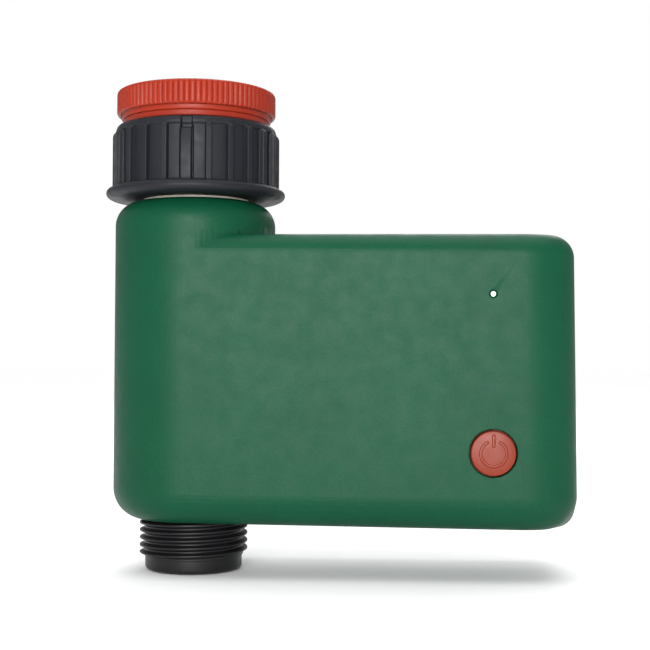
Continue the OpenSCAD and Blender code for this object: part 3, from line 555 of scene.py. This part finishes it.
button_x, button_z = (button_low[0] + button_high[0]) / 2, (button_low[2] + button_high[2]) / 2
light_x, light_z = (pipe_low[0] + pipe_high[0]) / 2, (pipe_low[2] + pipe_high[2]) / 2
BUTTON_R = 5.2
HOLE_R = BUTTON_R + 0.3
LIGHT_HOLE_R = 1.0
NECK_HOLE_R = 13.27
OUTLET_HOLE_R = 13.54

outer = housing(0)
skin = combine(copy_of(outer, "skin"), housing(SKIN), "DIFFERENCE")
FAR = 150
SEAM_HALF = 0.13
SEAM_DEPTH = 0.2
seam = combine(block((-60, -SEAM_HALF, -160), (140, SEAM_HALF, 0)), housing(SEAM_DEPTH), "DIFFERENCE")
neck_hole = turned_z("neck_hole", [(0, -40), (NECK_HOLE_R, -40), (NECK_HOLE_R, 0), (0, 0)])
outlet_hole = turned_z("outlet_hole", [
    (0, COLUMN_BOTTOM - 5), (OUTLET_HOLE_R + 0.8, COLUMN_BOTTOM - 5),
    (OUTLET_HOLE_R + 0.5, COLUMN_BOTTOM), (OUTLET_HOLE_R + 0.12, COLUMN_BOTTOM + 0.2),
    (OUTLET_HOLE_R, COLUMN_BOTTOM + 0.6), (OUTLET_HOLE_R, COLUMN_BOTTOM + 6),
    (0, COLUMN_BOTTOM + 6),
])

front = cad_solid("front_cover", "front_cover_shell")
front_skin = combine(copy_of(skin, "front_skin"),
                     block((-FAR, -FAR, -FAR), (FAR, -SPLIT, FAR)), "INTERSECT")
combine(front, front_skin, "UNION")
combine(front, hole_y(button_x, button_z, HOLE_R, -30, FRONT_Y + WALL + 2.2, 0.3), "DIFFERENCE")
combine(front, hole_y(light_x, light_z, LIGHT_HOLE_R, -30, FRONT_Y + 0.6, 0.1), "DIFFERENCE")
for cutter in (neck_hole, outlet_hole, seam):
    combine(front, cutter, "DIFFERENCE", keep=True)
finish_piece(front, "housing", GREEN, "front_cover", 32, True)

DOOR_GAP = 0.2
rear = cad_solid("rear_cover", "rear_cover_shell")
rear_skin = combine(copy_of(skin, "rear_skin"),
                    block((-FAR, SPLIT, -FAR), (FAR, FAR, FAR)), "INTERSECT")
combine(rear, rear_skin, "UNION")
recess_low = door_low - DOOR_GAP - 0.01
recess_high = door_high + DOOR_GAP + 0.01
LEDGE_Y = 16.91
SCREW_HOLES = ((22, -42.6), (21.6, -97.6))
combine(rear, block((recess_low[0], LEDGE_Y, recess_low[2]), (recess_high[0], 60, recess_high[2])),
        "DIFFERENCE")
for x, z in SCREW_HOLES:
    combine(rear, turned_y("screw_hole", [
        (0, 6.01), (2.31, 6.01), (2.31, 19.3), (3.2, 30), (0, 30)], x, z, 48), "DIFFERENCE")
for cutter in (neck_hole, outlet_hole, seam):
    combine(rear, cutter, "DIFFERENCE")
finish_piece(rear, "housing", GREEN, "rear_cover", 32, True)

door = cad_solid("battery_door", "battery_door_shell")
door_skin = combine(skin, block((door_low[0], COLUMN_R - WALL + 0.3, door_low[2]),
                                (door_high[0], 60, door_high[2])), "INTERSECT")
combine(door, door_skin, "UNION")
finish_piece(door, "door", GREEN, "battery_door", 32, True)
remove(outer)


# ---- swivel nut ----

NUT_RIBS = 24
RIB_STEP = 360 / NUT_RIBS
RIB_HALF = RIB_STEP / 2
RIB_AT = math.radians(272.0)
RIB_OFFSETS = (0, 0.8, 1.3, 1.6, 1.8, 1.95, 2.1, 2.25, 2.45, 2.7, 3.0, 3.3, 3.6, 3.9, 4.3, 5.2, 6.4)
rib_angles = sorted({s * a for a in RIB_OFFSETS for s in (-1, 1)} | {RIB_HALF})
nut_theta = np.concatenate([RIB_AT + np.radians(RIB_STEP * k + np.array(rib_angles))
                            for k in range(NUT_RIBS)])
NUT_TOP = nut_high[2]
NUT_SECTION = [
    (18.3, 18.3, 0), (18.8, 18.8, 0.05), (19.2, 19.2, 0.2), (19.5, 19.5, 0.5), (19.68, 19.68, 0.9),
    (19.75, 19.8, 1.3), (19.76, 19.86, 1.6), (19.74, 19.93, 1.78), (19.66, 20.02, 1.92),
    (19.52, 20.14, 2.05), (19.42, 20.27, 2.18), (19.36, 20.4, 2.34), (19.35, 20.5, 2.55),
    (19.35, 20.57, 2.8), (19.35, 20.6, 3.2), (19.35, 20.6, 7), (19.35, 20.6, 11), (19.35, 20.6, 14.6),
    (19.36, 20.6, 14.85), (19.4, 20.6, 15.0), (19.52, 20.62, 15.12), (19.8, 20.66, 15.2),
    (20.2, 20.75, 15.28), (20.7, 20.9, 15.38), (21.2, 21.2, 15.52), (21.6, 21.6, 15.74),
    (21.92, 21.92, 16.08), (22.06, 22.06, 16.5), (22.06, 22.06, 16.85), (21.9, 21.9, 17.3),
    (21.5, 21.5, 17.7), (20.9, 20.9, 18.0), (20.2, 20.2, 18.15), (19.6, 19.6, 18.2),
]
NUT_INSIDE = [
    (14.2, -26.8), (13.5, -26.75), (13.25, -26.5), (13.2, -26.2), (13.2, -24.2), (13.4, -24.0),
    (15.8, -24.0), (16.0, -23.8), (16.0, -18.0), (16.2, -17.6), (16.7, -17.25), (16.76, -17.0),
    (16.76, -12), (16.76, -9.3), (16.9, -8.95), (17.25, -8.66), (17.6, -8.6),
]


def nut_shape(turn, r, z):
    """Adds the ribs to the nut's outside; the rib at the front is wide, with a notch above it."""
    rows = len(NUT_SECTION)
    swing = (np.degrees(turn - RIB_AT) + 180) % 360 - 180
    away = np.abs((swing + RIB_HALF) % RIB_STEP - RIB_HALF)
    wide = np.abs(swing) < 7.4
    rib = np.where(wide, 1 - smooth_step(away, 3.0, 3.6), 1 - smooth_step(away, 1.7, 2.4))
    floor_r = np.array([p[0] for p in NUT_SECTION])[:, None]
    rib_r = np.array([p[1] for p in NUT_SECTION])[:, None]
    depth = np.array([p[2] for p in NUT_SECTION])[:, None]
    late = smooth_step(depth, 3.0, 3.7)
    rib_r = np.where(wide[:rows], floor_r + (rib_r - floor_r) * late, rib_r)
    notch = 0.85 * smooth_step(depth, 0.25, 0.6) * (1 - smooth_step(depth, 2.9, 3.3))
    notch = notch * (1 - smooth_step(np.abs(swing[:rows]), 3.4, 4.2))
    groove = 0.5 * smooth_step(depth, 2.2, 3.0) * (1 - smooth_step(depth, 14.6, 15.0))
    groove = groove * smooth_step(np.abs(swing[:rows]), 3.2, 3.7)
    groove = groove * (1 - smooth_step(np.abs(swing[:rows]), 4.4, 5.0))
    out = r.copy()
    out[:rows] = floor_r + (rib_r - floor_r) * rib[:rows] - notch - groove
    return out


nut_profile = [(p[0], NUT_TOP - p[2]) for p in NUT_SECTION] + NUT_INSIDE
nut = spun("nut_ribbed", nut_profile, nut_theta, nut_shape)
finish_piece(nut, "nut", NUT_GREY, "swivel_nut", 50)


# ---- reducer ring ----

RING_R = ring_high[0]
FLUTES, FLUTE_DEPTH = 90, 0.3
FINE, COARSE = FLUTES * 8, FLUTES * 2
PLUG_R, PLUG_PITCH, PLUG_CORE = 16.625, 2.309, 15.145
CREST_R, GROOVE_R, PIPE_PITCH = 12.06, 13.22, 1.814
MALE_TOP, MALE_END = -8.6, -15.9
FEMALE_TOP, FEMALE_END = -0.7, -11.3


def thread_height(turn, z, top, bottom, pitch, start=0.0, flat=0.2):
    """0 at the root and 1 at the crest of a right-hand thread, fading out at both ends."""
    phase = ((top - z) / pitch + turn / TURN + start) % 1
    wave = 1 - np.abs(2 * phase - 1)
    tooth = smooth_step(wave, flat, 1 - flat)
    ends = smooth_step(top - z, 0, 0.45 * pitch) * smooth_step(z - bottom, 0, 0.45 * pitch)
    return tooth * ends


def down(r, z0, z1, step):
    """Rows of a straight wall from z0 to z1."""
    count = max(2, int(abs(z1 - z0) / step) + 1)
    return [(r, z) for z in np.linspace(z0, z1, count)]


def bridge(outer_grid, inner_grid, shared_rows):
    """One closed mesh from a fine open grid and a coarse one, joined at their end rows."""
    fine_rows, fine_cols = outer_grid.shape[:2]
    rows, cols = inner_grid.shape[:2]
    points = np.concatenate([outer_grid.reshape(-1, 3), inner_grid.reshape(-1, 3)])
    faces = grid_faces(fine_rows, fine_cols, False)
    offset = fine_rows * fine_cols
    faces += [[offset + v for v in f] for f in grid_faces(rows, cols, False)]
    ratio = fine_cols // cols
    for fine_row, row in shared_rows:
        for j in range(cols):
            edge = [fine_row * fine_cols + (j * ratio + k) % fine_cols for k in range(ratio + 1)]
            pair = [offset + row * cols + (j + 1) % cols, offset + row * cols + j]
            faces.append(edge + pair)
    return points, faces


ring_envelope = [
    (18.2, 0), (18.7, -0.02), (19.05, -0.14), (19.35, -0.34), (19.53, -0.62), (RING_R, -1.0),
    (RING_R, -1.6), (RING_R, -3), (RING_R, -5.3), (19.5, -5.62), (19.35, -5.86), (19.1, -5.98),
    (18.75, -6.0),
]


def flute_shape(turn, r, z):
    """Shallow flutes cut into the ring's outside."""
    apart = np.abs((turn / TURN * FLUTES) % 1 - 0.5) * 2
    edge = RING_R - FLUTE_DEPTH * (1 - smooth_step(apart, 0.0, 0.55))
    return np.minimum(r, edge)


def plug_shape(turn, r, z):
    """Male thread outside and female thread inside the reducer's plug."""
    male = PLUG_CORE + (PLUG_R - PLUG_CORE) * thread_height(turn, z, MALE_TOP, MALE_END, PLUG_PITCH)
    tooth = thread_height(turn, z, FEMALE_TOP, FEMALE_END, PIPE_PITCH, 0.5, 0.18)
    female = CREST_R + (GROOVE_R - CREST_R) * tooth
    out = np.where(np.abs(r - PLUG_CORE) < 1e-6, male, r)
    return np.where(np.abs(r - CREST_R) < 1e-6, female, out)


plug_profile = (
    [(18.6, -5.85), (18.48, -5.95), (18.45, -6.1), (18.45, -6.85), (18.35, -7.05), (18.15, -7.14),
     (17.95, -7.16), (17.84, -7.2), (17.8, -7.32), (17.8, -8.2), (17.72, -8.37), (17.5, -8.44),
     (15.9, -8.45), (15.3, -8.48), (15.16, -8.6)]
    + down(PLUG_CORE, -8.75, -16.2, 0.13)
    + [(15.1, -16.45), (14.9, -16.62), (14.6, -16.7), (9.3, -16.7), (9.08, -16.62), (9.0, -16.4)]
    + [(9.0, -14.6), (9.2, -14.3), (13.0, -14.3), (13.2, -14.1), (13.22, -13.9), (13.22, -11.75)]
    + [(13.0, -11.55), (12.2, -11.42)]
    + down(CREST_R, -11.3, -0.35, 0.11)
    + [(12.12, -0.18), (12.3, -0.06), (12.6, -0.01), (13.6, 0)]
)
ring_points, ring_faces = bridge(
    spun_points(ring_envelope, angles(FINE), flute_shape),
    spun_points(plug_profile, angles(COARSE), plug_shape),
    [(0, len(plug_profile) - 1), (len(ring_envelope) - 1, 0)],
)
ring = solid("reducer_fluted", ring_points, ring_faces)
finish_piece(ring, "reducer", ORANGE, "reducer_ring", 50)


# ---- outlet ----

OUTLET_R, OUTLET_CORE, OUTLET_BORE = 13.22, 12.06, 9.4
OUTLET_RIM = spout_low[2]
THREAD_TOP, THREAD_END = -104.3, -113.85


def outlet_shape(turn, r, z):
    """Male thread on the outlet's outside."""
    tooth = thread_height(turn, z, THREAD_TOP, THREAD_END, PIPE_PITCH, 0.1, 0.16)
    return np.where(np.abs(r - OUTLET_CORE) < 1e-6, OUTLET_CORE + (OUTLET_R - OUTLET_CORE) * tooth, r)


outlet_profile = (
    filleted([(7.2, -72.9, 0.3), (11.4, -72.9, 0.3), (11.4, -81.2, 0), (10.5, -81.2, 0),
              (10.5, -82.9, 0), (11.4, -82.9, 0), (11.4, -92.02, 0), (16.4, -92.02, 0.3),
              (16.4, -95.4, 0.6), (12.9, -95.4, 0.8), (12.9, -101.7, 0), (12.1, -101.7, 0),
              (12.1, -103.3, 0), (12.9, -103.3, 0), (12.9, -103.9, 0.2)])[:-1]
    + [(12.6, -104.05), (12.2, -104.2)]
    + down(OUTLET_CORE, THREAD_TOP, THREAD_END, 0.095)
    + filleted([(11.9, -113.9, 0), (11.86, -114.1, 0.2), (11.86, OUTLET_RIM, 1.0),
                (OUTLET_BORE, OUTLET_RIM, 0.4), (OUTLET_BORE, -88, 0.5), (7.2, -84, 0.5)],
               6)[:-1]
    + [(7.2, -83.5)]
)
outlet = spun("outlet_threaded", outlet_profile, angles(180), outlet_shape)
finish_piece(outlet, "housing", OUTLET_BLACK, "outlet_spout", 50)


# ---- power button ----

ICON_R, ICON_WIDTH, ICON_RISE = 2.95, 0.52, 0.22
ICON_GAP = math.radians(30)
BAR_LOW, BAR_HIGH = 1.75, 4.0
button_tip = button_low[1]


def icon_height(turn, r):
    """Raised power symbol: a ring open at the top and an upright bar."""
    top_away = np.abs((turn - math.pi / 2 + math.pi) % TURN - math.pi)
    ring_off = np.abs(r - ICON_R)
    past_end = np.maximum(0, ICON_GAP - top_away) * ICON_R
    arc_off = np.hypot(ring_off, past_end)
    x, y = r * np.cos(turn), r * np.sin(turn)
    bar_off = np.hypot(x, np.maximum(0, np.maximum(BAR_LOW - y, y - BAR_HIGH)))
    near = np.minimum(arc_off, bar_off)
    return ICON_RISE * (1 - smooth_step(near, 0.35 * ICON_WIDTH, 0.75 * ICON_WIDTH))


cap_r = np.concatenate([np.linspace(0, 4.6, 58), np.linspace(4.68, 4.96, 4)])
cap_y = 0.3 * (cap_r / BUTTON_R) ** 4
turn_grid, r_grid = np.meshgrid(angles(240), cap_r)
height = cap_y[:, None] - icon_height(turn_grid, r_grid)
cap = np.stack([button_x + r_grid * np.cos(turn_grid), button_tip + height,
                button_z + r_grid * np.sin(turn_grid)], -1)
body_profile = [(5.09, 0.42), (5.17, 0.6), (BUTTON_R, 0.85), (BUTTON_R, 3.55)]
body_profile += [(6.5, 3.6), (6.6, 3.7), (6.6, 4.4), (6.5, 4.5), (2.0, 4.5)]
back_y = button_high[1] - button_tip
body_profile += [(2.0, back_y - 0.2), (1.8, back_y), (0.0, back_y)]
sides = spun_points(body_profile, angles(240))
sides = np.stack([button_x + sides[..., 0], button_tip + sides[..., 2],
                  button_z + sides[..., 1]], -1)
whole = np.concatenate([cap, sides])
button = solid("power_button_cap", whole.reshape(-1, 3), grid_faces(len(whole), 240, False))
finish_piece(button, "button", BUTTON_ORANGE, "power_button", 40)
